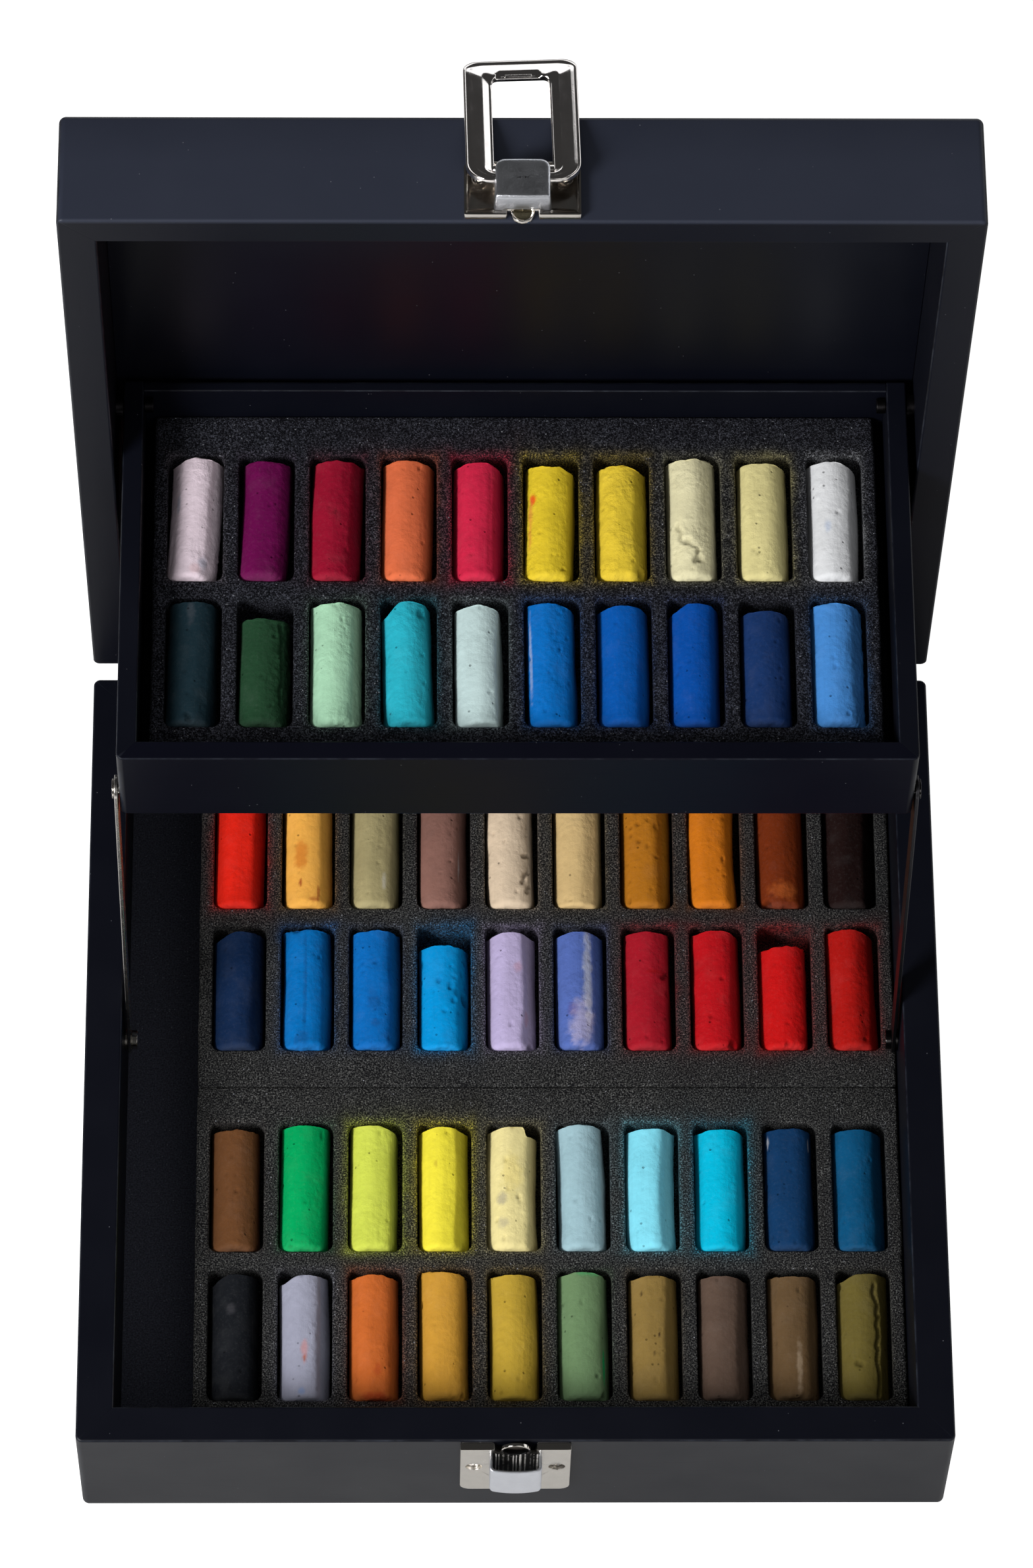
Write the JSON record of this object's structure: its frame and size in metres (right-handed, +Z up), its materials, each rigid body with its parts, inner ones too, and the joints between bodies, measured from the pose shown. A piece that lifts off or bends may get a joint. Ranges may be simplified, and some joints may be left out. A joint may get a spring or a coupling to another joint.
{
  "type": "pastel case with lifting tray",
  "caption": "Hinged wooden pastel case, open, with a tray that two metal arms lift out of the base and foam inserts holding rows of chalk pastel sticks.",
  "frame": {"origin": "centre of the underside of the base", "axes": "+Z up, +Y from the latch side to the hinge side, +X to the right seen from the latch side"},
  "size_m": [0.23, 0.2898, 0.2809],
  "materials": {
    "base_wood": "matte navy-black paint on wood",
    "lid_wood": "matte navy-black paint on wood",
    "tray_wood": "matte navy-black paint on wood",
    "liner": "dark speckled lining cloth",
    "foam": "dark grey open-cell foam dusted with pastel colour",
    "tray_rear_sticks": "chalky pastel, one colour a stick",
    "tray_front_sticks": "chalky pastel, one colour a stick",
    "rear_insert_rear_sticks": "chalky pastel, one colour a stick",
    "rear_insert_front_sticks": "chalky pastel, one colour a stick",
    "front_insert_rear_sticks": "chalky pastel, one colour a stick",
    "front_insert_front_sticks": "chalky pastel, one colour a stick",
    "hinge_steel": "nickel-plated sheet",
    "latch_steel": "bright nickel plate, satin faces",
    "arm_steel": "nickel-plated strip",
    "pivot_steel": "nickel-plated screws and washers"
  },
  "bodies": {
    "base": {"base_front_wall": "base_wood", "base_rear_wall": "base_wood", "base_left_wall": "base_wood", "base_right_wall": "base_wood", "base_bottom_panel": "base_wood", "floor_liner": "liner", "rear_foam_insert": "foam", "front_foam_insert": "foam", "rear_insert_rear_sticks": "rear_insert_rear_sticks", "rear_insert_front_sticks": "rear_insert_front_sticks", "front_insert_rear_sticks": "front_insert_rear_sticks", "front_insert_front_sticks": "front_insert_front_sticks", "base_latch_plate": "latch_steel", "base_latch_keeper": "latch_steel", "base_latch_stud": "latch_steel", "base_latch_screws": "latch_steel", "left_hinge_base_leaf": "hinge_steel", "right_hinge_base_leaf": "hinge_steel", "hinge_pins": "hinge_steel", "base_hinge_screws": "hinge_steel", "base_arm_screws": "pivot_steel", "base_arm_washers": "pivot_steel"},
    "lid": {"lid_front_wall": "lid_wood", "lid_rear_wall": "lid_wood", "lid_left_wall": "lid_wood", "lid_right_wall": "lid_wood", "lid_top_panel": "lid_wood", "lid_latch_plate": "latch_steel", "lid_latch_cover": "latch_steel", "lid_latch_socket": "latch_steel", "lid_latch_screws": "latch_steel", "left_hinge_lid_leaf": "hinge_steel", "right_hinge_lid_leaf": "hinge_steel", "lid_hinge_screws": "hinge_steel", "tray_pivot_screws": "pivot_steel", "tray_pivot_spacers": "pivot_steel"},
    "tray": {"tray_front_wall": "tray_wood", "tray_rear_wall": "tray_wood", "tray_left_wall": "tray_wood", "tray_right_wall": "tray_wood", "tray_floor": "tray_wood", "tray_foam_insert": "foam", "tray_rear_sticks": "tray_rear_sticks", "tray_front_sticks": "tray_front_sticks", "tray_arm_screws": "pivot_steel"},
    "left_arm": {"left_lifting_arm": "arm_steel"},
    "right_arm": {"right_lifting_arm": "arm_steel"},
    "hasp": {"hasp_loop": "latch_steel"}
  },
  "joints": [
    {"name": "lid_hinge", "type": "hinge", "parent": "base", "child": "lid", "pos_m": [0, 0.1153, 0.04615], "axis": [1, 0, 0], "range_deg": [0, 91]},
    {"name": "tray_pivot", "type": "hinge", "parent": "lid", "child": "tray", "pos_m": [0, 0.13746, 0.15318], "axis": [1, 0, 0], "range_deg": [-91, 0]},
    {"name": "left_arm_pivot", "type": "hinge", "parent": "base", "child": "left_arm", "pos_m": [-0.10385, 0.0123, 0.02565], "axis": [1, 0, 0], "range_deg": [0, 91]},
    {"name": "right_arm_pivot", "type": "hinge", "parent": "base", "child": "right_arm", "pos_m": [0.10385, 0.0123, 0.02565], "axis": [1, 0, 0], "range_deg": [0, 91]},
    {"name": "hasp_pivot", "type": "hinge", "parent": "lid", "child": "hasp", "pos_m": [0, 0.13151, 0.2787], "axis": [1, 0, 0], "range_deg": [0, 194.8]}
  ],
  "couplings": [
    {"joint": "tray_pivot", "follows": "lid_hinge", "ratio": -1},
    {"joint": "left_arm_pivot", "follows": "lid_hinge", "ratio": 1},
    {"joint": "right_arm_pivot", "follows": "lid_hinge", "ratio": 1}
  ]
}
